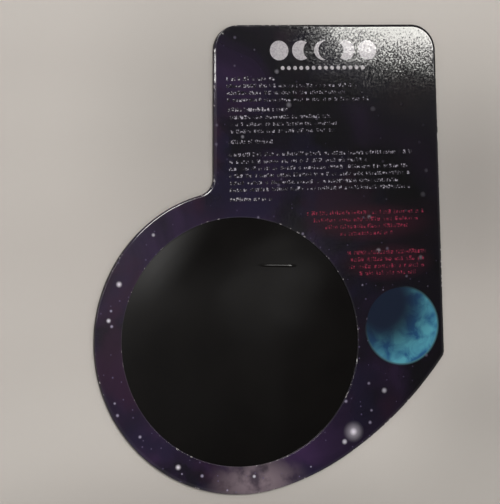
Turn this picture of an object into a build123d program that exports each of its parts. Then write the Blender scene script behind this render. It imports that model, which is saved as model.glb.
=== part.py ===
from build123d import *
from math import cos, radians, sin
import os

# Eclipse photo filter card: a flat, die-cut card with a round window of black solar film and a
# square handle tab. Two printed boards are glued face to face with the film between them.
# It lies on its rear face. The origin is the window's centre on the rear face, +Y runs up the
# tab, +X to the tab's side of the window and +Z out of the front.

# Outline, in millimetres, seen from the front
window_radius = 31.0
ring_width = 6.9
tab_right_offset = 54.4
tab_top_height = 78.8
tab_top_width = 59.1
tab_side_lean = 1.9
tab_corner_radius = 6.5
tab_root_radius = 4.4

# The lower right edge leaves the ring in a tight arc, then runs in a wide arc to a blunt corner
sweep_start_angle = -77.5
sweep_first_radius = 65.0
sweep_first_turn = 18.0
sweep_corner_drop = 5.2
sweep_corner_radius = 1.8

# Layers, from either face to the middle
laminate_thickness = 0.04
board_thickness = 0.40
film_glue_thickness = 0.03
film_thickness = 0.15

# The film is a disc that reaches under the ring, in a pocket of the glue between the boards
film_overlap = 4.0
film_pocket_clearance = 0.25

# The die rolls the front board's edges down as it cuts
rim_width = 0.70
rim_drop = 0.22
window_rim_width = 0.40
window_rim_drop = 0.12

# Worked out from the sizes above
ring_radius = window_radius + ring_width
film_radius = window_radius + film_overlap
film_pocket_radius = film_radius + film_pocket_clearance
core_thickness = film_thickness + 2 * film_glue_thickness

rear_board_base = laminate_thickness
core_base = rear_board_base + board_thickness
film_base = core_base + film_glue_thickness
front_film_glue_base = film_base + film_thickness
front_board_base = core_base + core_thickness
card_thickness = front_board_base + board_thickness + laminate_thickness


# Card outline, without the window
with BuildSketch() as card_outline:
    tab_top_left = Vector(tab_right_offset - tab_top_width, tab_top_height)
    tab_top_right = Vector(tab_right_offset, tab_top_height)
    sweep_corner = Vector(tab_right_offset, -sweep_corner_drop)
    lean_angle = radians(tab_side_lean)
    with BuildLine():
        upper_half = CenterArc((0, 0), ring_radius, 0, 180, mode=Mode.PRIVATE)
        side_direction = (-sin(lean_angle), -cos(lean_angle))
        left_side = IntersectingLine(tab_top_left, side_direction, upper_half)
        tab_root = left_side @ 1
        root_angle = Vector(1, 0).get_angle(tab_root)
        ring_turn = 360 + sweep_start_angle - root_angle
        ring = CenterArc((0, 0), ring_radius, root_angle, ring_turn)
        first_sweep = JernArc(ring @ 1, ring % 1, sweep_first_radius, sweep_first_turn)
        TangentArc(first_sweep @ 1, sweep_corner, tangent=first_sweep % 1)
        Line(sweep_corner, tab_top_right)
        Line(tab_top_right, tab_top_left)
    make_face()

    def outline_corner(place):
        """The outline's vertex nearest to a place."""
        return card_outline.vertices().sort_by_distance(place)[0]

    fillet([outline_corner(tab_top_left), outline_corner(tab_top_right)], tab_corner_radius)
    fillet(outline_corner(tab_root), tab_root_radius)
    fillet(outline_corner(sweep_corner), sweep_corner_radius)

# The same outline with the window cut out of it
with BuildSketch() as board_outline:
    add(card_outline.sketch)
    Circle(window_radius, mode=Mode.SUBTRACT)


def rolled_board(base):
    """A board standing on base, with the front edges of its outline and window rolled down."""
    with BuildPart() as board:
        with BuildSketch(Plane.XY.offset(base)):
            add(board_outline.sketch)
        extrude(amount=board_thickness)
        front = board.faces().sort_by(Axis.Z)[-1]
        chamfer(front.outer_wire().edges(), rim_width, rim_drop, reference=front)
        front = board.faces().sort_by(Axis.Z)[-1]
        window_edges = front.inner_wires()[0].edges()
        chamfer(window_edges, window_rim_width, window_rim_drop, reference=front)
    return board.part


# Rear gloss laminate, the skin that the card lies on
with BuildPart() as rear_gloss_laminate:
    with BuildSketch():
        add(board_outline.sketch)
    extrude(amount=laminate_thickness)

# Rear board
with BuildPart() as rear_board:
    with BuildSketch(Plane.XY.offset(rear_board_base)):
        add(board_outline.sketch)
    extrude(amount=board_thickness)

# Glue between the boards, as thick as the film with its own two glue rings
with BuildPart() as board_glue:
    with BuildSketch(Plane.XY.offset(core_base)):
        add(card_outline.sketch)
        Circle(film_pocket_radius, mode=Mode.SUBTRACT)
    extrude(amount=core_thickness)

# Glue ring behind the film
with BuildPart() as rear_film_glue:
    with BuildSketch(Plane.XY.offset(core_base)):
        Circle(film_radius)
        Circle(window_radius, mode=Mode.SUBTRACT)
    extrude(amount=film_glue_thickness)

# Black solar film that closes the window
with BuildPart() as filter_film:
    with BuildSketch(Plane.XY.offset(film_base)):
        Circle(film_radius)
    extrude(amount=film_thickness)

# Glue ring in front of the film
with BuildPart() as front_film_glue:
    with BuildSketch(Plane.XY.offset(front_film_glue_base)):
        Circle(film_radius)
        Circle(window_radius, mode=Mode.SUBTRACT)
    extrude(amount=film_glue_thickness)

# Front board
with BuildPart() as front_board:
    add(rolled_board(front_board_base))

# Front gloss laminate, which follows the board's rolled edges
with BuildPart() as front_gloss_laminate:
    add(rolled_board(front_board_base + laminate_thickness))
    add(front_board.part, mode=Mode.SUBTRACT)

pieces = {
    "rear_gloss_laminate": rear_gloss_laminate,
    "rear_board": rear_board,
    "board_glue": board_glue,
    "rear_film_glue": rear_film_glue,
    "filter_film": filter_film,
    "front_film_glue": front_film_glue,
    "front_board": front_board,
    "front_gloss_laminate": front_gloss_laminate,
}
os.makedirs("parts", exist_ok=True)
for name, piece in pieces.items():
    piece.part.label = name
    export_step(piece.part, "parts/" + name + ".step")

card_box = card_outline.sketch.bounding_box()
print("card", round(card_box.size.X, 2), "x", round(card_box.size.Y, 2), "x", round(card_thickness, 3), "mm")
print("front face at", round(front_gloss_laminate.part.bounding_box().max.Z, 3), "mm")
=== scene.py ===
# %% [markdown]
# # An eclipse photo filter card
# The object is a flat card of laminated paperboard with a round window of black solar film. It
# is held over a phone's camera, so that the phone can take a picture of the eclipsed sun. The
# CAD model already says how large each layer is and where it lies. This lesson dresses that
# model: rolled die-cut edges, a printed night sky under a gloss laminate, and a tight dark film.

# %% Load the fixed frame
import math
import random

import bpy
import numpy as np
from mathutils import Matrix, Vector, noise
from mathutils.geometry import delaunay_2d_cdt


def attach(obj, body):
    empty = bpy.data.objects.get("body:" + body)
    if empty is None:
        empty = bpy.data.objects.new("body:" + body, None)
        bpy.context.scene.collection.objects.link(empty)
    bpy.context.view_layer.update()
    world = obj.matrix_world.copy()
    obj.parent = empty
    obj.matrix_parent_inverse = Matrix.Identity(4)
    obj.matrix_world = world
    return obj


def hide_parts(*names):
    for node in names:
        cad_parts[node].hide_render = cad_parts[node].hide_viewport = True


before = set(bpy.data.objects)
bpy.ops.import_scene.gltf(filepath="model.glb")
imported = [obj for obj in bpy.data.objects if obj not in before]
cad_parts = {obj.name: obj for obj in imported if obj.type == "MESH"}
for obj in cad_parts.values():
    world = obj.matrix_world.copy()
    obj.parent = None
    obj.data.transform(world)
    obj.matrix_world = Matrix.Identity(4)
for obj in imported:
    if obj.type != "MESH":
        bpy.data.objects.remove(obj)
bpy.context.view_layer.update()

MM = 0.001
scene = bpy.context.scene
scene.view_settings.view_transform = "Standard"
print("nodes", sorted(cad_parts))

# %% [markdown]
# ## Camera
# The photograph was taken from above and a little from the left, by a phone held about two
# thirds of a metre away. The three turns below bring the card's axes to the camera's: a lean
# sideways, a small pitch and a small roll. The lens is long because the photograph is a crop.
# Blender fits the sensor to the longer side of the picture, which here is its height.

# %% Camera
side_lean, pitch, roll = (math.radians(a) for a in (18.766, 0.317, 1.744))
card_in_camera = Vector((-2.415, -22.388, -672.233)) * MM
card_to_camera = (Matrix.Rotation(roll, 3, "Z") @ Matrix.Rotation(pitch, 3, "X")
                  @ Matrix.Rotation(side_lean, 3, "Y"))
camera_turn = card_to_camera.transposed()
# The sensor in millimetres, then the focal length and the height in the photograph's pixels
sensor, focal_pixels, picture_pixels = 36.0, 2700, 504
camera = bpy.data.objects.new("camera", bpy.data.cameras.new("camera"))
scene.collection.objects.link(camera)
camera.matrix_world = Matrix.Translation(-(camera_turn @ card_in_camera)) @ camera_turn.to_4x4()
camera.data.sensor_width = sensor
camera.data.lens = sensor * focal_pixels / picture_pixels
camera.data.clip_start, camera.data.clip_end = 0.05, 20.0
scene.camera = camera
print("camera at", [round(v, 3) for v in camera.matrix_world.translation])
print("lens", round(camera.data.lens, 1), "mm")

# %% [markdown]
# ## Small helpers
# Colours are picked as hex values in sRGB, the way a screen shows them, and Blender's shaders
# work with linear light, so one function turns the first into the second. Another adds one
# node: settings by name, then what goes into its sockets, a value or a link. Many things here
# are soft ovals, from a pale patch of the room to a star, so a third measures how far from the
# middle of an oval a place is.


# %% Colours, nodes and ovals
def linear(hex_colour):
    """An sRGB hex colour as linear red, green, blue and an alpha of 1."""
    parts = [int(hex_colour[i:i + 2], 16) / 255 for i in (1, 3, 5)]
    return [p / 12.92 if p <= 0.04045 else ((p + 0.055) / 1.055) ** 2.4 for p in parts] + [1.0]


def add(tree, kind, inputs=None, **settings):
    """Adds a shader node. A node given as an input is linked from its first live output."""
    node = tree.nodes.new("ShaderNode" + kind)
    for name, value in settings.items():
        setattr(node, name, value)
    for key, value in (inputs or {}).items():
        socket = node.inputs[key] if isinstance(key, int) else next(
            s for s in node.inputs if s.enabled and s.name == key)
        if isinstance(value, bpy.types.Node):
            value = next(s for s in value.outputs if s.enabled)
        if isinstance(value, bpy.types.NodeSocket):
            tree.links.new(value, socket)
        else:
            socket.default_value = value
    return node


def oval(tree, place, middle, half_size=(1.0, 1.0)):
    """Distance of a place from a middle, as a share of an oval's half size where one is given."""
    away = add(tree, "VectorMath", {0: place, 1: (*middle, 0.0)}, operation="SUBTRACT")
    share = (1 / half_size[0], 1 / half_size[1], 0.0)
    away = add(tree, "VectorMath", {0: away, 1: share}, operation="MULTIPLY")
    return add(tree, "VectorMath", {0: away}, operation="LENGTH").outputs["Value"]


def new_material(name):
    """An empty node material and its tree."""
    material = bpy.data.materials.new(name)
    material.use_nodes = True
    material.node_tree.nodes.clear()
    return material, material.node_tree


print("middle grey", [round(v, 3) for v in linear("#808080")])

# %% [markdown]
# ## Light
# A gloss card shows whatever is above it, as a dark mirror would. The room is lit evenly enough
# for colours to render about as they are written, but the part of it that the flat card mirrors
# to the camera is dark, because the viewer stands in the light. All of this is the world: a
# level of light for each direction. A place in the room is given by the x and y of the
# direction to it.

# %% The room's own level
world = bpy.data.worlds.new("room")
scene.world = world
world.use_nodes = True
room = world.node_tree
room.nodes.clear()
direction = add(room, "TexCoord").outputs["Generated"]
upward = add(room, "SeparateXYZ", {"Vector": direction}).outputs["Z"]
# A little darker overhead, never quite even, and dark where the viewer stands
overhead = add(room, "MapRange", {"Value": upward, "From Min": 0.45, "From Max": 0.85,
                                  "To Min": 0.52, "To Max": 0.34}, interpolation_type="SMOOTHSTEP")
uneven = add(room, "TexNoise", {"Vector": direction, "Scale": 9.0, "Detail": 2.0})
uneven = add(room, "MapRange", {"Value": uneven, "From Min": 0.35, "From Max": 0.65,
                                "To Min": 0.75, "To Max": 1.2})
viewer = oval(room, direction, (0.345, -0.025), (0.082, 0.110))
viewer = add(room, "MapRange", {"Value": viewer, "From Min": 0.85, "From Max": 1.55,
                                "To Min": 0.12, "To Max": 1.0}, interpolation_type="SMOOTHSTEP")
strength = overhead
for share in (uneven, viewer):
    strength = add(room, "Math", {0: strength, 1: share}, operation="MULTIPLY")
print("room level:", len(room.nodes), "nodes")

# %% [markdown]
# ## What the card mirrors
# A few paler things in the dark part show as faint shapes in the black film. A diffuser panel
# at the dark part's edge gives the glare on the tab's corner. The panel's sides are soft, one
# corner is cut off, and the cells of its plastic are uneven, so the glare fades unevenly. Each
# side is an ease from dark to lit along a level direction, and the five are multiplied.

# %% Paler things, each with its middle, half size and strength
pale_things = (
    ((0.340, -0.012), (0.0105, 0.0085), 0.38), ((0.3355, -0.0245), (0.0100, 0.0125), 0.34),
    ((0.336, 0.001), (0.0060, 0.0070), 0.28), ((0.3275, -0.037), (0.0070, 0.0080), 0.10),
    ((0.328, -0.055), (0.0065, 0.032), 0.07), ((0.249, 0.041), (0.048, 0.054), 0.92),
    ((0.270, -0.020), (0.030, 0.030), 0.20), ((0.310, -0.020), (0.030, 0.030), 0.08),
    ((0.350, 0.005), (0.020, 0.016), 0.10), ((0.290, 0.010), (0.020, 0.020), 0.07),
    ((0.288, -0.050), (0.032, 0.045), 0.09), ((0.312, -0.030), (0.024, 0.040), 0.05),
    ((0.333, 0.124), (0.022, 0.020), 5.0))
for middle, half_size, brightness in pale_things:
    pale = oval(room, direction, middle, half_size)
    pale = add(room, "MapRange", {"Value": pale, "From Min": 0.1, "From Max": 1.35,
                                  "To Min": brightness, "To Max": 0.0}, interpolation_type="SMOOTHSTEP")
    strength = add(room, "Math", {0: strength, 1: pale}, operation="ADD")
print(len(pale_things), "paler things")

# %% The diffuser panel
panel_strength = 25.5
# Its long and short directions are turned by 4 degrees, and the last one cuts its corner off
panel_x, panel_y, panel_corner = (0.9976, -0.0698, 0.0), (0.0698, 0.9976, 0.0), (0.419, 0.908, 0.0)
panel = 1.0
for across, dark_end, lit_end in ((panel_x, 0.335, 0.3535), (panel_x, 0.47, 0.44), (panel_y, 0.0875, 0.1015),
                                  (panel_y, 0.19, 0.17), (panel_corner, 0.2045, 0.220)):
    along = add(room, "VectorMath", {0: direction, 1: across}, operation="DOT_PRODUCT").outputs["Value"]
    side = add(room, "MapRange", {"Value": along, "From Min": dark_end, "From Max": lit_end},
               interpolation_type="SMOOTHSTEP")
    panel = add(room, "Math", {0: panel, 1: side}, operation="MULTIPLY")
cells = add(room, "TexNoise", {"Vector": direction, "Scale": 80.0, "Detail": 1.0})
cells = add(room, "MapRange", {"Value": cells, "From Min": 0.35, "From Max": 0.65,
                               "To Min": 0.60, "To Max": 1.30})
glare = add(room, "Math", {0: panel, 1: cells}, operation="MULTIPLY")
strength = add(room, "Math", {0: glare, 1: panel_strength, 2: strength}, operation="MULTIPLY_ADD")
print("panel strength", panel_strength)

# %% The world's colours
# The camera sees a plain pale backdrop, and everything else sees the room
tint = add(room, "Mix", {"Factor": panel, "A": linear("#fffdfb"), "B": linear("#fffef7")}, data_type="RGBA")
lit = add(room, "Background", {"Color": tint, "Strength": strength})
seen = add(room, "Background", {"Color": linear("#c9c4be"), "Strength": 1.0})
camera_ray = add(room, "LightPath").outputs["Is Camera Ray"]
shown = add(room, "MixShader", {0: camera_ray, 1: lit, 2: seen})
add(room, "OutputWorld", {"Surface": shown})
print("world nodes", len(room.nodes))

# %% [markdown]
# ## Lamps
# Two ceiling lamps do the rest. Rolled edges mirror a lamp as a bright line, wherever their
# outward direction lies half way between the lamp and the camera. A panel above the tab draws
# the line along the ring's upper left, and a long tube the one on the tab's left side.


# %% Lamps
def hang_lamp(name, place, aim, long_side, size, radiance):
    """A flat lamp of a given radiance at a place, facing a point, with its long side along a direction."""
    data = bpy.data.lights.new(name, "AREA")
    data.shape, data.size, data.size_y = "RECTANGLE", size[0], size[1]
    data.energy = radiance * math.pi * size[0] * size[1]
    data.color = linear("#fffcf8")[:3]
    back = (Vector(place) - Vector(aim)).normalized()
    side = Vector(long_side)
    side = (side - back * side.dot(back)).normalized()
    turn = Matrix((side, back.cross(side), back)).transposed()
    lamp = bpy.data.objects.new(name, data)
    scene.collection.objects.link(lamp)
    lamp.matrix_world = Matrix.Translation(place) @ turn.to_4x4()


hang_lamp("ceiling_panel", place=(0.128, 0.505, 1.40), aim=(-0.02, 0.03, 0),
          long_side=(-0.54, 0.84, 0), size=(0.50, 0.26), radiance=24.0)
hang_lamp("ceiling_tube", place=(-0.440, 0.206, 1.46), aim=(0, 0.066, 0),
          long_side=(-1.32, 0.077, 0), size=(1.30, 0.036), radiance=17.0)

# %% [markdown]
# ## Table
# The card lies on a plain pale table top of melamine, pressed to a satin face, so it picks up a
# little of the room. The top is set two hundredths of a millimetre under the card, so that the
# two faces don't meet. A few soft shades round the card are painted shadow in the table's colour,
# for the light that the viewer keeps off the table.

# %% Table top
# Half of its width, and how far it is under the card, both in metres
table_half, table_gap = 4.0, 0.02 * MM
table_corners = [(x * table_half, y * table_half, 0) for x, y in ((-1, -1), (1, -1), (1, 1), (-1, 1))]
table_mesh = bpy.data.meshes.new("table")
table_mesh.from_pydata(table_corners, [], [(0, 1, 2, 3)])
table = bpy.data.objects.new("table", table_mesh)
table.location.z = -table_gap
scene.collection.objects.link(table)
print("table top at", round(table.location.z / MM, 3), "mm")

# %% Melamine
melamine, tree = new_material("satin_melamine_table")
streak_long, streak_wide = 250 * MM, 62.5 * MM
where = add(tree, "TexCoord").outputs["Object"]
long_grain = add(tree, "Mapping", {"Vector": where, "Scale": (1 / streak_long, 1 / streak_wide, 1.0)})
cloudy = add(tree, "TexNoise", {"Vector": long_grain, "Scale": 1.0, "Detail": 2.0})
cloudy = add(tree, "MapRange", {"Value": cloudy, "From Min": 0.35, "From Max": 0.65})
tone = add(tree, "Mix", {"Factor": cloudy, "A": linear("#b2aca7"), "B": linear("#bbb6b1")},
           data_type="RGBA")
# Painted shadow on the table: each painted shade has a middle and a half size in metres, and a depth
painted_shades = (((0.064, 0.038), (0.030, 0.034), 0.45), ((0.066, -0.020), (0.026, 0.023), 0.28),
          ((-0.006, 0.054), (0.032, 0.038), 0.30), ((0.005, -0.045), (0.110, 0.016), 0.24))
# Each painted shade darkens the table's tone towards a dark brown grey, as painted shadow
for middle, half_size, depth in painted_shades:
    painted_shade_mask = oval(tree, where, middle, half_size)
    painted_shade_mask = add(tree, "MapRange", {"Value": painted_shade_mask, "From Min": 1.4, "From Max": 0.0, "To Max": depth},
                interpolation_type="SMOOTHSTEP")
    tone = add(tree, "Mix", {"Factor": painted_shade_mask, "A": tone, "B": linear("#3a3532")}, data_type="RGBA")
satin = add(tree, "BsdfPrincipled", {"Base Color": tone, "Roughness": 0.45, "IOR": 1.5})
add(tree, "OutputMaterial", {"Surface": satin})
table_mesh.materials.append(melamine)
print("melamine with", len(painted_shades), "soft shades")

# %% [markdown]
# ## The die's outline
# A cutting die is a bent steel blade, so the card's outline is a chain of straight runs and
# arcs that flow into each other. Every point is kept with its outward direction, because the
# rolled edges are made by stepping inwards from this line.

# %% Sizes of the card, in millimetres
window_radius, ring_width = 31.0, 6.9
ring_radius = window_radius + ring_width
tab_right, tab_top, tab_top_width = 54.4, 78.8, 59.1
side_lean_angle = math.radians(1.9)
corner_radius, root_radius, sweep_corner_radius = 6.5, 4.4, 1.8
sweep_start, sweep_turn, sweep_radius = math.radians(-77.5), math.radians(18.0), 65.0
sweep_corner = np.array([tab_right, -5.2])
# How far apart the outline's points are, and the least gap that is kept where two parts meet
outline_step, least_gap = 0.45, 0.05


def arc(centre, radius, first, last):
    """Points and outward directions along an arc. Where it turns clockwise, outward is towards its centre."""
    count = max(3, int(abs(last - first) * radius / outline_step) + 1)
    angles = np.linspace(first, last, count)
    ray = np.stack([np.cos(angles), np.sin(angles)], axis=1)
    return np.array(centre) + radius * ray, ray if last > first else -ray


def run(start, end):
    """Points and outward directions along a straight run, without its ends."""
    start, end = np.array(start), np.array(end)
    along = end - start
    length = np.linalg.norm(along)
    count = int(length / outline_step)
    shares = (np.arange(1, count) / count)[:, None]
    outward = np.array([along[1], -along[0]]) / length
    return start + shares * along, np.tile(outward, (count - 1, 1))


def angle_of(point, centre=(0, 0)):
    """The direction of a point from a centre, from 0 to a full turn."""
    return math.atan2(point[1] - centre[1], point[0] - centre[0]) % (2 * math.pi)


print("ring radius", ring_radius, "mm")

# %% Where the arcs have their centres
turned = sweep_start + sweep_turn
first_centre = (ring_radius - sweep_radius) * np.array([math.cos(sweep_start), math.sin(sweep_start)])
first_end = first_centre + sweep_radius * np.array([math.cos(turned), math.sin(turned)])
inward = -np.array([math.cos(turned), math.sin(turned)])
chord = sweep_corner - first_end
wide_radius = chord @ chord / (2 * chord @ inward)
wide_centre = first_end + wide_radius * inward
# The blunt corner where the wide arc meets the right side
blunt_x = tab_right - sweep_corner_radius
blunt_rise = math.sqrt((wide_radius - sweep_corner_radius) ** 2 - (blunt_x - wide_centre[0]) ** 2)
blunt_y = wide_centre[1] + math.copysign(blunt_rise, sweep_corner[1] - wide_centre[1])
blunt = np.array([blunt_x, blunt_y])
blunt_start = angle_of(blunt, wide_centre)
# The two corners of the tab, and the root where its left side meets the ring
right_corner = np.array([tab_right - corner_radius, tab_top - corner_radius])
lean_cos, lean_sin = math.cos(side_lean_angle), math.sin(side_lean_angle)
side_out = np.array([-lean_cos, lean_sin])
side_down = np.array([-lean_sin, -lean_cos])
top_left = np.array([tab_right - tab_top_width, tab_top])
left_y = tab_top - corner_radius
left_t = (left_y - top_left[1] + corner_radius * side_out[1]) / side_down[1]
left_corner = top_left + left_t * side_down - corner_radius * side_out
root_base = top_left + root_radius * side_out
half = root_base @ side_down
root_t = -half - math.sqrt(half ** 2 - root_base @ root_base + (ring_radius + root_radius) ** 2)
root = root_base + root_t * side_down
print("wide arc", round(float(wide_radius), 1), "mm, root at", root.round(1))

# %% Outline of the card
parts = [
    arc(blunt, sweep_corner_radius, blunt_start - 2 * math.pi, 0.0),
    run(blunt + (sweep_corner_radius, 0), right_corner + (corner_radius, 0)),
    arc(right_corner, corner_radius, 0.0, math.pi / 2),
    run(right_corner + (0, corner_radius), left_corner + (0, corner_radius)),
    arc(left_corner, corner_radius, math.pi / 2, math.pi - side_lean_angle),
    run(left_corner + corner_radius * side_out, root - root_radius * side_out),
    arc(root, root_radius, 2 * math.pi - side_lean_angle, angle_of(-root)),
    arc((0, 0), ring_radius, angle_of(root), 2 * math.pi + sweep_start),
    arc(first_centre, sweep_radius, sweep_start, turned),
    arc(wide_centre, wide_radius, turned, blunt_start - 2 * math.pi),
]
outline = np.concatenate([points for points, _ in parts])
outward = np.concatenate([rays for _, rays in parts])
keep = np.linalg.norm(outline - np.roll(outline, 1, axis=0), axis=1) > least_gap
outline, outward = outline[keep], outward[keep]
print("outline", len(outline), "points; x", outline[:, 0].min().round(2), outline[:, 0].max().round(2),
      "y", outline[:, 1].min().round(2), outline[:, 1].max().round(2))

# %% [markdown]
# ## The die's small faults
# The die never cuts perfectly. The outline wanders by a few hundredths of a millimetre, and the
# right side has a few torn burrs. The blade also drags the front face down as it pushes
# through, so the edge rolls over. The roll is made of rings of points that lie closest together
# where it is steepest.

# %% The roll's rings and the cut's wander
rim_width, rim_drop = 0.70, 0.22
window_rim_width, window_rim_drop = 0.22, 0.12
# Where the rings lie, as shares of the rolled width. The last ones are just inside it, on the flat
shoulder = np.array([1.0, 0.985, 0.94, 0.87, 0.77, 0.64, 0.48, 0.28, 0.12, 0.0, -0.15])
window_shoulder = np.array([1.0, 0.85, 0.70, 0.55, 0.40, 0.25, 0.12, 0.05, 0.0, -0.2, -0.5])
# The burrs: right of this x, about this y, over this spread and this deep
burr_x, burr_y, burr_spread, burr_depth = 50, 51.5, 3.2, 0.16


def rough_cut(x, y):
    """How far the cut edge stands out from the outline at a place, in millimetres."""
    wander = 0.025 * noise.noise((x / 2.3, y / 2.3, 4.0)) + 0.012 * noise.noise((x / 0.7, y / 0.7, 9.0))
    torn = math.exp(-((y - burr_y) / burr_spread) ** 2) if x > burr_x else 0.0
    return wander + burr_depth * torn * noise.noise((1.0, y / 0.9, 2.5))


wobble = np.array([rough_cut(x, y) for x, y in outline])
print("cut wanders from", wobble.min().round(3), "to", wobble.max().round(3), "mm")

# %% [markdown]
# ## A plan that every layer shares
# All the layers are cut by the same blow of the die, so they share one plan: rings of points
# that step in from the outline, rings that step out from the window, and a net of triangles
# between them. The triangles come from a constrained Delaunay triangulation, which joins
# scattered points without crossing either ring.

# %% Rings, net and triangles
window_points, net_spacing = 420, 1.3
turns = np.linspace(0, 2 * math.pi, window_points, endpoint=False)
circle = np.stack([np.cos(turns), np.sin(turns)], axis=1)
# The net begins outside the window's last ring, and what is far from a cut gets this distance
gate_radius = window_radius + (1 - window_shoulder[-1]) * window_rim_width
far = 99.0
# Only what lies inside the outer ring is filled, and points this close are one
inside_only, same_point = 1, 1e-5


def net_points(fence):
    """Staggered points inside the card's fence and outside the window, clear of both."""
    low, high = fence.min(axis=0), fence.max(axis=0)
    found = []
    for row, y in enumerate(np.arange(low[1], high[1], net_spacing * math.sqrt(3) / 2)):
        for x in np.arange(low[0] + (row % 2) * net_spacing / 2, high[0], net_spacing):
            if math.hypot(x, y) < gate_radius + 0.5 * net_spacing:
                continue
            gap = np.linalg.norm(fence - (x, y), axis=1)
            nearest = int(gap.argmin())
            side = (np.array([x, y]) - fence[nearest]) @ outward[nearest]
            if side < 0 and gap[nearest] > 0.5 * net_spacing:
                found.append((x, y))
    return np.array(found)


def card_plan():
    """Points, faces, and how far each point is from the outline and from the window."""
    points, edge, window, faces = [], [], [], []
    outer, inner, rows = len(outline), window_points, len(shoulder)
    for share in shoulder:
        inset = (1 - share) * rim_width
        points.append(outline + outward * (wobble * share - inset)[:, None])
        edge += [inset] * outer
        window += [far] * outer
    for share in window_shoulder:
        inset = (1 - share) * window_rim_width
        points.append(circle * (window_radius + inset))
        edge += [far] * inner
        window += [inset] * inner
    start = rows * outer
    for row in range(rows - 1):
        for i in range(outer):
            a, b = row * outer + i, row * outer + (i + 1) % outer
            faces.append((a, b, b + outer, a + outer))
        for i in range(inner):
            a, b = start + row * inner + i, start + row * inner + (i + 1) % inner
            faces.append((b, a, a + inner, b + inner))
    fence, gate = points[rows - 1], points[-1]
    net = net_points(fence)
    loops = np.concatenate([fence, gate, net])
    sides = [(i, (i + 1) % outer) for i in range(outer)]
    sides += [(outer + (i + 1) % inner, outer + i) for i in range(inner)]
    _, _, triangles, origins, _, _ = delaunay_2d_cdt(
        [Vector(p) for p in loops], sides, [], inside_only, same_point)
    # From the triangulation's own numbers to the plan's
    names = np.concatenate([np.arange(outer) + (rows - 1) * outer,
                            np.arange(inner) + start + (rows - 1) * inner,
                            np.arange(len(net)) + start + rows * inner])
    for triangle in triangles:
        middle = sum(loops[origins[i][0]] for i in triangle) / 3
        if math.hypot(*middle) > gate_radius:
            faces.append(tuple(int(names[origins[i][0]]) for i in triangle))
    edge += [far] * len(net)
    window += [far] * len(net)
    return np.concatenate(points + [net]), np.array(edge), np.array(window), faces, start


plan = card_plan()
print("plan:", len(plan[0]), "points,", len(plan[3]), "faces")

# %% [markdown]
# ## Layers as closed sheets
# Each layer is a top and a bottom over the shared plan, joined by walls along the outline and
# the window. The walls of the boards have a few extra rows, because cut paperboard shows its
# plies as a fuzzy, slightly stepped edge.


# %% Making a sheet
def finished(name, spots, faces):
    """A smooth-shaded object from points in millimetres, with creases kept at steep edges."""
    mesh = bpy.data.meshes.new(name)
    mesh.from_pydata((np.asarray(spots, float) * MM).tolist(), [], faces)
    mesh.polygons.foreach_set("use_smooth", [True] * len(mesh.polygons))
    mesh.set_sharp_from_angle(angle=math.radians(40))
    piece = bpy.data.objects.new(name, mesh)
    scene.collection.objects.link(piece)
    return piece


def sheet(name, top, bottom, wall_rows=0, fuzz=0.0):
    """A closed layer over the plan, with heights in millimetres from two functions."""
    flat, edge, window, faces, start = plan
    count = len(flat)
    upper = np.column_stack([flat, top(flat, edge, window)])
    lower = np.column_stack([flat, bottom(flat, edge, window)])
    spots = [upper, lower]
    every = list(faces) + [tuple(count + i for i in reversed(face)) for face in faces]
    total = 2 * count
    for first, rays, turn in ((0, outward, 1), (start, -circle, -1)):
        length = len(rays)
        rings = [np.arange(first, first + length)]
        for row in range(wall_rows):
            share = (row + 1) / (wall_rows + 1)
            ring = upper[first:first + length] * (1 - share) + lower[first:first + length] * share
            rough = np.array([noise.noise((x / 0.8, y / 0.8, row * 5.0)) for x, y, _ in ring])
            ring[:, :2] += rays * (fuzz * rough)[:, None]
            spots.append(ring)
            rings.append(np.arange(total, total + length))
            total += length
        rings.append(np.arange(first, first + length) + count)
        for over, under in zip(rings, rings[1:]):
            for i in range(length):
                j = (i + 1) % length
                quad = (under[i], under[j], over[j], over[i])
                every.append(tuple(int(v) for v in (quad if turn > 0 else reversed(quad))))
    piece = finished(name, np.concatenate(spots), every)
    # How far each point is from a cut, which the print's shader reads
    from_cut = np.zeros(total, np.float32)
    from_cut[:2 * count] = np.tile(np.minimum(edge, window), 2)
    piece.data.attributes.new("from_cut", "FLOAT", "POINT").data.foreach_set("value", from_cut)
    return piece


print("rings:", len(shoulder), "at the outline,", len(window_shoulder), "at the window")

# %% [markdown]
# ## Front laminate and board
# The front edge rolls over in a quarter of an oval before it drops to the cut, and the gloss
# laminate is a skin four hundredths of a millimetre thick that follows it. At the tab's top
# left corner, along its top edge and on the ring's left and upper left the blade was keener, so
# the roll is tighter. The window's own edge is pressed to a narrow flat bevel with an eased
# top. A laminated card is also never quite flat: it swells and dips by about a hundredth of a
# millimetre over the length of a finger, which is what bends its reflections.

# %% Heights of the layers, in millimetres
laminate, board, core = 0.04, 0.40, 0.21
front_top = 2 * laminate + 2 * board + core
# Where the blade was keener: place, spread and by how much
keener = (((-2.3, 77.3), 3.2, 0.86), ((12.0, 79.0), 8.0, 0.70),
          ((-36.6, 9.8), 12.0, 0.75), ((-18.0, 33.0), 10.0, 0.40))
# The share of the window's bevel that is eased
bevel_ease = 0.12


def swell(flat):
    """The card's slow unevenness, never above the flat face."""
    slow = [noise.noise((x / 17, y / 17, 0.3)) + 0.5 * noise.noise((x / 7, y / 7, 3.0)) for x, y in flat]
    return 0.008 * (np.array(slow) + 1.0).clip(0, 2)


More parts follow.
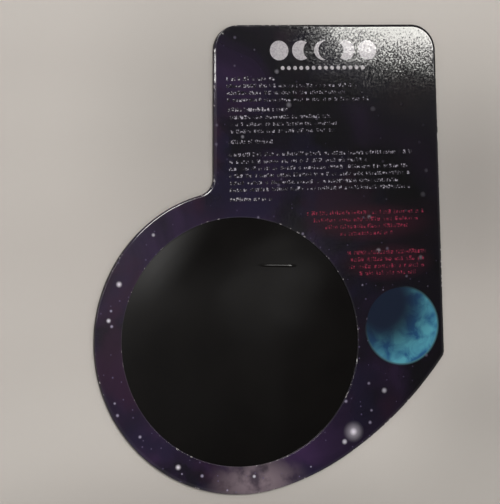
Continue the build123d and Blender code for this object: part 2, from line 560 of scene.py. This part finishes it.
def rolled(flat, edge, window):
    """Height of the front face over the plan."""
    tight = 1 - sum(much * np.exp(-((flat - place) ** 2).sum(axis=1) / (2 * spread ** 2))
                    for place, spread, much in keener)
    past = np.clip(1 - edge / (rim_width * tight), 0, 1)
    drop = rim_drop * (1 - np.sqrt(1 - past ** 2))
    past = np.clip(1 - window / window_rim_width, 0, 1)
    eased = np.clip(past / bevel_ease, 0, 1)
    bevel = np.clip(past - bevel_ease, 0, 1) + bevel_ease * (eased ** 3 - eased ** 4 / 2)
    drop += window_rim_drop * bevel / (1 - bevel_ease / 2)
    return front_top - drop - swell(flat)


def level(height):
    """A flat face at one height."""
    return lambda flat, edge, window: np.full(len(flat), height)


print("front face at", round(front_top, 3), "mm")

# %% The four cut layers
front_laminate = sheet("front_gloss_print", rolled, lambda *p: rolled(*p) - laminate)
front_board = sheet("front_paperboard", lambda *p: rolled(*p) - laminate, level(laminate + board + core),
                    wall_rows=4, fuzz=0.03)
rear_board = sheet("rear_paperboard", level(laminate + board), level(laminate), wall_rows=4, fuzz=0.03)
rear_laminate = sheet("rear_gloss_print", level(laminate), level(0.0))
for piece, node, slot in ((front_laminate, "front_gloss_laminate", "front_print"),
                          (front_board, "front_board", "paperboard"),
                          (rear_board, "rear_board", "paperboard"),
                          (rear_laminate, "rear_gloss_laminate", "rear_print")):
    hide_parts(node)
    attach(piece, "root")
print(len(front_laminate.data.polygons), "faces in a laminate,", len(front_board.data.polygons), "in a board")

# %% [markdown]
# ## Solar film
# The film is a thin black polymer sheet, held only by its rim. It is slack by a hair: it rises
# from the glue line, most at the upper left, and has a few dents that no finger would feel. One
# short crease runs across it. All of that is in the mesh, because reflections in a black mirror
# show the smallest slope.

# %% The film's shape, in millimetres
film_radius, film_low, film_high = 35.0, 0.47, 0.62
# The film is free of its glue about this far from the rim, and stands this high between the dents
glue_reach, film_rise = 6.0, 0.02
# Where the film stands proud or dips: x, y, spread and height
slack_places = ((-20.0, 16.0, 13.4, 0.22), (-6.0, -6.0, 9.0, -0.010), (16.0, 2.0, 7.0, 0.008),
                (3.0, 22.0, 6.0, 0.006), (-18.0, -14.0, 8.0, 0.010))
# The crease: its middle, half length and slope, how far its ends fade, its width and its height
crease_at, crease_half, crease_slope = np.array([10.2, 18.65]), 5.2, 0.045
crease_fade, crease_width, crease_height = 2.4, 0.17, 0.02


def smooth(share):
    """Eases a share between 0 and 1."""
    share = min(max(share, 0.0), 1.0)
    return share * share * (3 - 2 * share)


def film_lift(x, y):
    """How far the film stands above its glued height, in millimetres."""
    free = 1 - math.exp(-max(window_radius - math.hypot(x, y), 0.0) / glue_reach)
    slack = film_rise + sum(height * math.exp(-((x - at_x) ** 2 + (y - at_y) ** 2) / (2 * spread ** 2))
                            for at_x, at_y, spread, height in slack_places)
    slack += 0.004 * noise.noise((x / 9, y / 13, 1.7))
    along = x - crease_at[0]
    across = y - crease_at[1] + crease_slope * along
    fold = smooth((crease_half - abs(along)) / crease_fade) * math.exp(-(across / crease_width) ** 2)
    return free * slack + crease_height * fold


print("film from", film_low, "to", film_high, "mm")

# %% [markdown]
# ## The film's mesh
# Like the layers, the film is a triangulation, of rings near the glue, a staggered net inside
# them and a much finer net along the crease. A plain disc of triangles would have none of its
# points where the shape needs them.

# %% Film
rim_points = 300
net_reach, net_edge, net_step, net_row = 27, 26.6, 1.0, 0.87
# The coarse net leaves room for the fine one, this far to each side and this far up and down
room_wide, room_high = 5.6, 0.9


def film_plan():
    """A disc of points: rings near the glue, a staggered net inside, and a fine net at the crease."""
    turns = np.linspace(0, 2 * math.pi, rim_points, endpoint=False)
    ray = np.stack([np.cos(turns), np.sin(turns)], axis=1)
    radii = [film_radius, 33.0, 31.6] + list(np.arange(window_radius, net_reach, -0.5))
    net = [(x + (row % 2) * net_step / 2, y)
           for row, y in enumerate(np.arange(-net_reach, net_reach, net_row))
           for x in np.arange(-net_reach, net_reach, net_step) if math.hypot(x, y) < net_edge
           and not (abs(x - crease_at[0]) < room_wide and abs(y - crease_at[1]) < room_high)]
    offsets = np.array([-0.6, -0.4, -0.26, -0.13, 0, 0.13, 0.26, 0.4, 0.6])
    fold = [(x, y - crease_slope * (x - crease_at[0]))
            for x in np.arange(crease_at[0] - crease_half, crease_at[0] + crease_half + 0.1, 0.4)
            for y in crease_at[1] + offsets]
    return np.concatenate([radius * ray for radius in radii] + [np.array(net), np.array(fold)])


flat = film_plan()
rim = [(i, (i + 1) % rim_points) for i in range(rim_points)]
_, _, triangles, origins, _, _ = delaunay_2d_cdt([Vector(p) for p in flat], rim, [], inside_only, same_point)
triangles = [tuple(int(origins[i][0]) for i in t) for t in triangles]
lift = np.array([film_lift(x, y) for x, y in flat])
count = len(flat)
spots = np.concatenate([np.column_stack([flat, film_high + lift]), np.column_stack([flat, film_low + lift])])
faces = triangles + [tuple(count + i for i in reversed(t)) for t in triangles]
faces += [(count + i, count + j, j, i) for i, j in rim]
film = finished("solar_film", spots, faces)
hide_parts("filter_film")
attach(film, "root")
print("film", len(faces), "faces, highest", round(float(lift.max()), 3), "mm above its glue line")

# %% [markdown]
# ## Printed marks
# The tab of such a card is full of small printed lines. This card says nothing, so its lines
# are rows of plain dashes of the same size and spacing as small print, and its heading is a
# row of discs that shows the sun being covered and uncovered. They are opaque ink, about a
# hundredth of a millimetre thick, and follow the face that they lie on, about half of it proud.

# %% Ink shapes
ink_proud, ink_sunk = 0.005, 0.006


def ink_marks(name, shapes):
    """One piece of flat closed marks, each from a loop of points in millimetres."""
    spots, faces = [], []
    for shape in shapes:
        first, size = len(spots), len(shape)
        flat = np.array(shape, float)
        face_height = front_top - swell(flat)
        spots += np.column_stack([flat, face_height + ink_proud]).tolist()
        spots += np.column_stack([flat, face_height - ink_sunk]).tolist()
        faces.append(tuple(range(first, first + size)))
        faces.append(tuple(reversed(range(first + size, first + 2 * size))))
        for i in range(size):
            j = (i + 1) % size
            faces.append((first + size + i, first + size + j, first + j, first + i))
    piece = finished(name, spots, faces)
    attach(piece, "root")
    return piece


def dashes(draw, y, left, right, height):
    """A row of dashes of uneven length, with wider gaps here and there, as between words."""
    shapes, x = [], left
    while x < right - 0.4:
        length = min(draw.uniform(0.28, 0.95), right - x)
        low, high = y - height / 2, y + height * draw.uniform(0.15, 0.7)
        shapes.append([(x, low), (x + length, low), (x + length, high), (x, high)])
        x += length + (draw.uniform(0.7, 1.0) if draw.random() < 0.22 else 0.22)
    return shapes


def covered_sun(centre, radius, shift):
    """The lit part of a disc that another of the same size covers from one side."""
    x, y = centre
    if abs(shift) >= 2 * radius:
        turns = np.linspace(0, 2 * math.pi, 48, endpoint=False)
        return [(x + radius * math.cos(t), y + radius * math.sin(t)) for t in turns]
    reach = math.acos(abs(shift) / (2 * radius))
    rim = np.linspace(reach, 2 * math.pi - reach, 40)
    bite = np.linspace(math.pi + reach, math.pi - reach, 30)[1:-1]
    loop = [(radius * math.cos(t), radius * math.sin(t)) for t in rim]
    loop += [(abs(shift) + radius * math.cos(t), radius * math.sin(t)) for t in bite]
    if shift < 0:
        loop = [(-a, b) for a, b in reversed(loop)]
    return [(x + a, y + b) for a, b in loop]


print("ink stands", ink_proud, "mm proud")

# %% The rows of marks, in millimetres
row_pitch, left_margin, red_height = 1.75, -1.9, 0.90
draw = random.Random(7)
white_marks, bold_marks, red_marks = [], [], []
# White blocks: the first row's place, the number of rows, the indent, the width and the height
for marks, top, rows, indent, width, height in (
        (bold_marks, 65.4, 1, 0.0, 13.5, 0.90), (white_marks, 63.6, 3, 0.0, 41, 0.80),
        (bold_marks, 57.7, 1, 0.0, 17, 0.85), (white_marks, 55.8, 3, 0.6, 38, 0.80),
        (white_marks, 49.7, 1, 0.0, 12.5, 0.85), (white_marks, 46.5, 6, 0.0, 50, 0.82),
        (bold_marks, 35.4, 1, 0.0, 15.5, 0.82)):
    for row in range(rows):
        end = left_margin + indent + width * (1 - 0.3 * draw.random() ** 2)
        marks += dashes(draw, top - row * row_pitch, left_margin + indent, end, height)
# Red blocks: the first row's place, the middle and the width of each row
for top, middle, widths in ((31.4, 34.3, (32, 28.5, 22.5, 14.5)), (21.2, 39.6, (21.5, 20, 21, 15.5))):
    for row, width in enumerate(widths):
        red_marks += dashes(draw, top - row * row_pitch, middle - width / 2, middle + width / 2, red_height)
print(len(white_marks), "white,", len(bold_marks), "bold and", len(red_marks), "red dashes")

# %% The heading and the four inks' pieces
# A shift of a whole disc or more, as this one is, leaves the disc uncovered
clear = 9.9
heading = [covered_sun((12.2 + 5.9 * i, 72.4), 2.45, shift)
           for i, shift in enumerate((clear, 3.0, 1.1, -3.0, -clear))]
heading += [covered_sun((13.0 + 1.65 * i, 68.0), 0.5, clear) for i in range(14)]
white_print = ink_marks("white_ink_dashes", white_marks)
bold_print = ink_marks("bold_white_ink_dashes", bold_marks)
red_print = ink_marks("red_ink_dashes", red_marks)
heading_print = ink_marks("eclipse_disc_row", heading)
print(len(heading), "heading marks")

# %% [markdown]
# ## Gloss laminate over print
# The print is ink on the board's white face with a clear polypropylene film laminated over it.
# The eye sees a deep dark colour under a sharp gloss. The shader keeps those apart: a fairly
# matt base for the ink, and a coat for the film. Laminating presses the film into the board's
# grain, and the little facets that this leaves each lean their own way by a fraction of a
# degree. So a noise colour is added to the surface's direction, where a bump would draw
# ripples, and the glare breaks up into grains. Real facets are finer: they are drawn 0.45 mm
# across, as coarse as they need to be to show.

# %% The laminate's shader
peel_size, peel_depth = 2.6 * MM, 0.0020 * MM
facet_size, facet_lean = 0.45 * MM, 0.018


def laminate_over(tree, colour):
    """A clear gloss laminate over a printed colour."""
    where = add(tree, "TexCoord").outputs["Object"]
    peel = add(tree, "TexNoise", {"Vector": where, "Scale": 1 / peel_size, "Detail": 2.0})
    waves = add(tree, "Bump", {"Height": peel, "Strength": 1.0, "Distance": peel_depth})
    facets = add(tree, "TexNoise", {"Vector": where, "Scale": 1 / facet_size, "Detail": 1.0}).outputs["Color"]
    lean = add(tree, "VectorMath", {0: facets, 1: (0.5, 0.5, 0.5)}, operation="SUBTRACT")
    lean = add(tree, "VectorMath", {0: lean, "Scale": facet_lean}, operation="SCALE")
    both = add(tree, "VectorMath", {0: waves, 1: lean}, operation="ADD")
    both = add(tree, "VectorMath", {0: both}, operation="NORMALIZE")
    surface = add(tree, "BsdfPrincipled", {
        "Base Color": colour, "Roughness": 0.6, "Specular IOR Level": 0.05, "Coat Weight": 1.0,
        "Coat Roughness": 0.045, "Coat IOR": 1.5, "Normal": both, "Coat Normal": both})
    add(tree, "OutputMaterial", {"Surface": surface})


print("facets lean by up to", round(math.degrees(facet_lean / 2), 2), "degrees")

# %% [markdown]
# ## The printed night sky
# A plain sky of this card's own: slow clouds of indigo and violet on near black, three sizes
# of stars, and a small teal moon. Clouds are noise put through a colour ramp, and two more slow
# patterns turn parts of them to magenta and to slate blue. The sky is darkest along the card's
# right side. Each function below lays one thing over the sky that it is given.


# %% Clouds
cloud_size = 30
# The two slower patterns: how far into the noise, size and colour
tinges = ((0.0, 20, "#2c162b"), (37.0, 17, "#1a152d"))


def clouds(tree, place):
    """Slow clouds of indigo and violet with magenta and slate blue patches."""
    shape = add(tree, "TexNoise", {"Vector": place, "Scale": 1 / cloud_size, "Detail": 5.0, "Roughness": 0.5,
                                   "Distortion": 0.8}, noise_dimensions="2D")
    sky = add(tree, "ValToRGB", {"Fac": shape})
    stops = sky.color_ramp.elements
    stops[0].position, stops[0].color = 0.30, linear("#0b0a10")
    stops[1].position, stops[1].color = 0.75, linear("#342242")
    for position, colour in ((0.45, "#120d1a"), (0.56, "#1f142b")):
        stops.new(position).color = linear(colour)
    for offset, size, colour in tinges:
        patch = add(tree, "VectorMath", {0: place, 1: (offset, offset, 0)}, operation="ADD")
        patch = add(tree, "TexNoise", {"Vector": patch, "Scale": 1 / size, "Detail": 4.0},
                    noise_dimensions="2D")
        patch = add(tree, "MapRange", {"Value": patch, "From Min": 0.48, "From Max": 0.66, "To Max": 0.75},
                    interpolation_type="SMOOTHSTEP")
        sky = add(tree, "Mix", {"Factor": patch, "A": sky, "B": linear(colour)}, data_type="RGBA")
    return sky


def hazes(tree, place, sky):
    """A pale patch under the window, and a faint red cloud behind each block of red marks."""
    # Measured in millimetres up and down, and nearly twice as wide as high
    patch = oval(tree, place, (3.0, -35.0), (1 / 0.55, 1.0))
    patch = add(tree, "MapRange", {"Value": patch, "From Min": 8.5, "From Max": 0.5},
                interpolation_type="SMOOTHSTEP")
    wisps = add(tree, "TexNoise", {"Vector": place, "Scale": 1 / 5.0, "Detail": 4.0}, noise_dimensions="2D")
    wisps = add(tree, "MapRange", {"Value": wisps, "From Min": 0.3, "From Max": 0.6, "To Min": 0.25},
                interpolation_type="SMOOTHSTEP")
    patch = add(tree, "Math", {0: patch, 1: wisps}, operation="MULTIPLY")
    sky = add(tree, "Mix", {"Factor": patch, "A": sky, "B": linear("#7a6c74")}, data_type="RGBA")
    for middle, half_size in (((34.3, 28.8), (17.5, 4.8)), ((39.6, 18.6), (12.5, 4.8))):
        red = oval(tree, place, middle, half_size)
        red = add(tree, "MapRange", {"Value": red, "From Min": 1.15, "From Max": 0.5, "To Max": 0.7},
                  interpolation_type="SMOOTHSTEP")
        sky = add(tree, "Mix", {"Factor": red, "A": sky, "B": linear("#290d19")}, data_type="RGBA")
    return sky


print("clouds about", cloud_size, "mm across")

# %% [markdown]
# ## Stars
# Stars are cells: a Voronoi pattern has one point in each cell, and only some cells light
# theirs. Each of the three sizes is such a pattern of its own. They are fainter up the tab, so
# that the marks can be seen. Three brighter stars are listed, one with a wide glow.


# %% Scattered and chosen stars
# In millimetres: the cell, the radius, the share of cells with a star, the seed and the colour
star_sizes = ((2.4, 0.34, 0.20, 3, "#5c5270"), (5.5, 0.60, 0.36, 11, "#948da4"),
              (12.0, 1.0, 0.36, 29, "#cdcad6"))
# The place, the radius and the brightness. The second one is a glow round the third
bright_stars = (((-31.2, 15.4), 0.95, 1.0), ((29.0, -23.8), 3.0, 0.4),
                ((29.0, -23.8), 1.2, 1.0), ((-17.5, -30.2), 0.9, 1.0))


def scattered(tree, place, cell, radius, share, seed):
    """Brightness of stars: one to a cell, in only a share of the cells, of varied size."""
    moved = add(tree, "VectorMath", {0: place, 1: (seed, seed * 0.7, 0)}, operation="ADD")
    cells = add(tree, "TexVoronoi", {"Vector": moved, "Scale": 1 / cell}, voronoi_dimensions="2D")
    chance = add(tree, "SeparateColor", {"Color": cells.outputs["Color"]})
    lit = add(tree, "Math", {0: chance.outputs["Red"], 1: 1 - share}, operation="GREATER_THAN")
    size = add(tree, "MapRange", {"Value": chance.outputs["Green"], "To Min": 0.5 * radius / cell,
                                  "To Max": radius / cell})
    disc = add(tree, "Math", {0: cells.outputs["Distance"], 1: size}, operation="DIVIDE")
    disc = add(tree, "MapRange", {"Value": disc, "From Min": 1.0, "From Max": 0.1},
               interpolation_type="SMOOTHSTEP")
    return add(tree, "Math", {0: disc, 1: lit}, operation="MULTIPLY")


def stars(tree, place, sky, dim, seed):
    """The scattered stars and the bright ones, laid over the sky."""
    faint = add(tree, "SeparateXYZ", {"Vector": place}).outputs["Y"]
    faint = add(tree, "MapRange", {"Value": faint, "From Min": 12, "From Max": 40,
                                   "To Min": 1.0, "To Max": 0.30}, interpolation_type="SMOOTHSTEP")
    faint = add(tree, "Math", {0: dim, 1: faint}, operation="MULTIPLY")
    for cell, radius, share, number, colour in star_sizes:
        lit = scattered(tree, place, cell, radius, share, number + seed)
        lit = add(tree, "Math", {0: lit, 1: faint}, operation="MULTIPLY")
        sky = add(tree, "Mix", {"Factor": lit, "A": sky, "B": linear(colour)}, data_type="RGBA")
    for middle, radius, bright in bright_stars:
        lit = add(tree, "MapRange", {"Value": oval(tree, place, middle), "From Min": radius, "From Max": 0.0,
                                     "To Max": bright}, interpolation_type="SMOOTHSTEP")
        sky = add(tree, "Mix", {"Factor": lit, "A": sky, "B": linear("#d6d0dc")}, data_type="RGBA")
    return sky


print(len(star_sizes), "sizes of stars in cells of", [size[0] for size in star_sizes], "mm")

# %% [markdown]
# ## Moon
# The moon is a disc whose lit crescent is what lies far enough from a point near its upper
# left. Streaky noise mixes two teals on the lit part, and a thin halo follows the lit rim.

# %% Moon
moon_middle, moon_radius = (43.0, 2.5), 9.6


def moon(tree, place, sky):
    """A teal moon with a lit crescent."""
    away = oval(tree, place, moon_middle)
    shadow = (moon_middle[0] - 0.55 * moon_radius, moon_middle[1] + 0.6 * moon_radius)
    lit = add(tree, "MapRange", {"Value": oval(tree, place, shadow), "From Min": 0.55 * moon_radius,
                                 "From Max": 1.75 * moon_radius}, interpolation_type="SMOOTHSTEP")
    streaks = add(tree, "TexNoise", {"Vector": place, "Scale": 1 / 4.0, "Detail": 6.0, "Distortion": 0.4},
                  noise_dimensions="2D")
    streaks = add(tree, "MapRange", {"Value": streaks, "From Min": 0.35, "From Max": 0.68})
    face = add(tree, "Mix", {"Factor": streaks, "A": linear("#20507a"), "B": linear("#4f95a6")},
               data_type="RGBA")
    face = add(tree, "Mix", {"Factor": lit, "A": linear("#101a2c"), "B": face}, data_type="RGBA")
    halo = add(tree, "MapRange", {"Value": away, "From Min": 1.07 * moon_radius,
                                  "From Max": 0.99 * moon_radius, "To Max": 0.4},
               interpolation_type="SMOOTHSTEP")
    halo = add(tree, "Math", {0: halo, 1: lit}, operation="MULTIPLY")
    sky = add(tree, "Mix", {"Factor": halo, "A": sky, "B": linear("#6fb4c4")}, data_type="RGBA")
    disc = add(tree, "MapRange", {"Value": away, "From Min": moon_radius + 0.12,
                                  "From Max": moon_radius - 0.12}, interpolation_type="SMOOTHSTEP")
    return add(tree, "Mix", {"Factor": disc, "A": sky, "B": face}, data_type="RGBA")


print("moon at", moon_middle, "radius", moon_radius, "mm")

# %% [markdown]
# ## Wear
# Here and there along the cut the ink has chipped, and the board's pale face shows. Chips are
# small specks of noise, kept only near a cut and only where a slower noise says that the edge
# is worn.


# %% Chips
chip_size, worn_size = 0.9, 14


def chips(tree, place, moved, sky):
    """Pale specks along the cut edges."""
    near_cut = add(tree, "Attribute", attribute_name="from_cut").outputs["Fac"]
    near_cut = add(tree, "MapRange", {"Value": near_cut, "From Min": 0.30, "From Max": 0.08},
                   interpolation_type="SMOOTHSTEP")
    specks = add(tree, "TexNoise", {"Vector": place, "Scale": 1 / chip_size, "Detail": 2.0},
                 noise_dimensions="2D")
    specks = add(tree, "MapRange", {"Value": specks, "From Min": 0.60, "From Max": 0.66},
                 interpolation_type="SMOOTHSTEP")
    worn = add(tree, "TexNoise", {"Vector": moved, "Scale": 1 / worn_size, "Detail": 1.0},
               noise_dimensions="2D")
    worn = add(tree, "MapRange", {"Value": worn, "From Min": 0.50, "From Max": 0.58},
               interpolation_type="SMOOTHSTEP")
    for share in (worn, near_cut):
        specks = add(tree, "Math", {0: specks, 1: share}, operation="MULTIPLY")
    return add(tree, "Mix", {"Factor": specks, "A": sky, "B": linear("#a29c9e")}, data_type="RGBA")


print("chips about", chip_size, "mm across")

# %% [markdown]
# ## The two printed faces
# Both faces are the same sky from another part of the noise. Only the front has the moon, the
# pale patch and the red haze. Coordinates are the object's own, in millimetres, and flattened,
# so that the rolled edges carry on what the face shows.


# %% Front and rear print
def night_sky(tree, seed, front):
    """The printed sky's colour."""
    where = add(tree, "TexCoord").outputs["Object"]
    place = add(tree, "VectorMath", {0: where, 1: (1 / MM, 1 / MM, 0)}, operation="MULTIPLY")
    moved = add(tree, "VectorMath", {0: place, 1: (seed, 0, 0)}, operation="ADD")
    # Darkest along the card's right side
    across = add(tree, "VectorMath", {0: place, 1: (1.0, 0.22, 0)}, operation="DOT_PRODUCT").outputs["Value"]
    dim = add(tree, "MapRange", {"Value": across, "From Min": 10, "From Max": 52,
                                 "To Min": 1.0, "To Max": 0.15})
    sky = add(tree, "Mix", {"Factor": 1.0, "A": clouds(tree, moved), "B": dim}, data_type="RGBA",
              blend_type="MULTIPLY")
    if front:
        sky = hazes(tree, place, sky)
    sky = stars(tree, place, sky, dim, seed)
    if front:
        sky = moon(tree, place, sky)
    return chips(tree, place, moved, sky)


front_print, tree = new_material("offset_print_under_gloss_laminate")
laminate_over(tree, night_sky(tree, 4.0, front=True))
front_laminate.data.materials.append(front_print)
rear_print, tree = new_material("rear_offset_print_under_gloss_laminate")
laminate_over(tree, night_sky(tree, 61.0, front=False))
rear_laminate.data.materials.append(rear_print)
print("front print", len(front_print.node_tree.nodes), "nodes, rear", len(rear_print.node_tree.nodes))

# %% [markdown]
# ## Inks
# The marks are under the same laminate as the sky, so they have its gloss. Small print never
# lies quite evenly, so the ink's tone wavers over about four tenths of a millimetre, between
# the sky that shows through and the full ink.

# %% White and red ink
ink_grain = 0.42 * MM
for piece, name, weak, full, low, high in (
        (white_print, "white_ink_under_laminate", "#18151c", "#a6a2ae", 0.50, 0.66),
        (bold_print, "bold_white_ink_under_laminate", "#201d26", "#b8b4be", 0.47, 0.63),
        (heading_print, "white_heading_ink_under_laminate", "#9a969c", "#b6b2b6", 0.35, 0.60),
        (red_print, "red_ink_under_laminate", "#2c0f1b", "#8c2c44", 0.46, 0.68)):
    ink, tree = new_material(name)
    where = add(tree, "TexCoord").outputs["Object"]
    cover = add(tree, "TexNoise", {"Vector": where, "Scale": 1 / ink_grain, "Detail": 2.0})
    cover = add(tree, "MapRange", {"Value": cover, "From Min": low, "From Max": high},
                interpolation_type="SMOOTHSTEP")
    tone = add(tree, "Mix", {"Factor": cover, "A": linear(weak), "B": linear(full)}, data_type="RGBA")
    laminate_over(tree, tone)
    piece.data.materials.append(ink)
print("ink grain", round(ink_grain / MM, 2), "mm")

# %% [markdown]
# ## Paperboard
# The boards are paperboard with a core that is dyed black, so that no light creeps through the
# card's edge into the window. The die leaves the cut edge matt, with short dark fibres and a
# little dust on them.

# %% Board
fibre_size, dust_size, fuzz_depth = 0.5 * MM, 6.0 * MM, 0.02 * MM
paperboard, tree = new_material("black_core_paperboard_die_cut")
where = add(tree, "TexCoord").outputs["Object"]
fibres = add(tree, "TexNoise", {"Vector": where, "Scale": 1 / fibre_size, "Detail": 3.0})
dark = add(tree, "MapRange", {"Value": fibres, "From Min": 0.3, "From Max": 0.7},
           interpolation_type="SMOOTHSTEP")
tone = add(tree, "Mix", {"Factor": dark, "A": linear("#1c191c"), "B": linear("#302c2f")}, data_type="RGBA")
dust = add(tree, "TexNoise", {"Vector": where, "Scale": 1 / dust_size, "Detail": 3.0})
dust = add(tree, "MapRange", {"Value": dust, "From Min": 0.50, "From Max": 0.75, "To Max": 0.5},
           interpolation_type="SMOOTHSTEP")
tone = add(tree, "Mix", {"Factor": dust, "A": tone, "B": linear("#4a4547")}, data_type="RGBA")
fuzz = add(tree, "Bump", {"Height": fibres, "Strength": 0.8, "Distance": fuzz_depth})
surface = add(tree, "BsdfPrincipled", {"Base Color": tone, "Roughness": 0.85, "Normal": fuzz})
add(tree, "OutputMaterial", {"Surface": surface})
for piece in (front_board, rear_board):
    piece.data.materials.append(paperboard)
print("board fibres", round(fibre_size / MM, 2), "mm")

# %% [markdown]
# ## Film and glue
# The film is carbon-black polyethylene, rolled smooth, which gives it a clear dark reflection
# with a faint haze that differs from place to place. The glue is a dried clear adhesive, lumpy
# with a dull shine, which looks as dark as the boards on both sides of it.

# %% Film
haze_size = 14 * MM
black_film, tree = new_material("carbon_black_polyethylene_film")
where = add(tree, "TexCoord").outputs["Object"]
haze = add(tree, "TexNoise", {"Vector": where, "Scale": 1 / haze_size, "Detail": 3.0})
rough = add(tree, "MapRange", {"Value": haze, "From Min": 0.35, "From Max": 0.65, "To Min": 0.045,
                               "To Max": 0.060}, interpolation_type="SMOOTHSTEP")
tone = add(tree, "Mix", {"Factor": haze, "A": linear("#0a0909"), "B": linear("#110f0e")}, data_type="RGBA")
surface = add(tree, "BsdfPrincipled", {"Base Color": tone, "Roughness": rough, "IOR": 1.5})
add(tree, "OutputMaterial", {"Surface": surface})
film.data.materials.append(black_film)
print("film haze", round(haze_size / MM), "mm")

# %% Glue
lump_size, lump_depth = 1.5 * MM, 0.03 * MM
dried_glue, tree = new_material("dried_clear_adhesive")
where = add(tree, "TexCoord").outputs["Object"]
lumps = add(tree, "TexNoise", {"Vector": where, "Scale": 1 / lump_size, "Detail": 3.0})
tone = add(tree, "Mix", {"Factor": lumps, "A": linear("#1f1c1b"), "B": linear("#322e2b")}, data_type="RGBA")
bumps = add(tree, "Bump", {"Height": lumps, "Strength": 0.6, "Distance": lump_depth})
surface = add(tree, "BsdfPrincipled", {"Base Color": tone, "Roughness": 0.4, "Normal": bumps})
add(tree, "OutputMaterial", {"Surface": surface})
for node in ("board_glue", "front_film_glue", "rear_film_glue"):
    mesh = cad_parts[node].data
    mesh.materials.clear()
    mesh.materials.append(dried_glue)
print("materials", [m.name for m in bpy.data.materials])
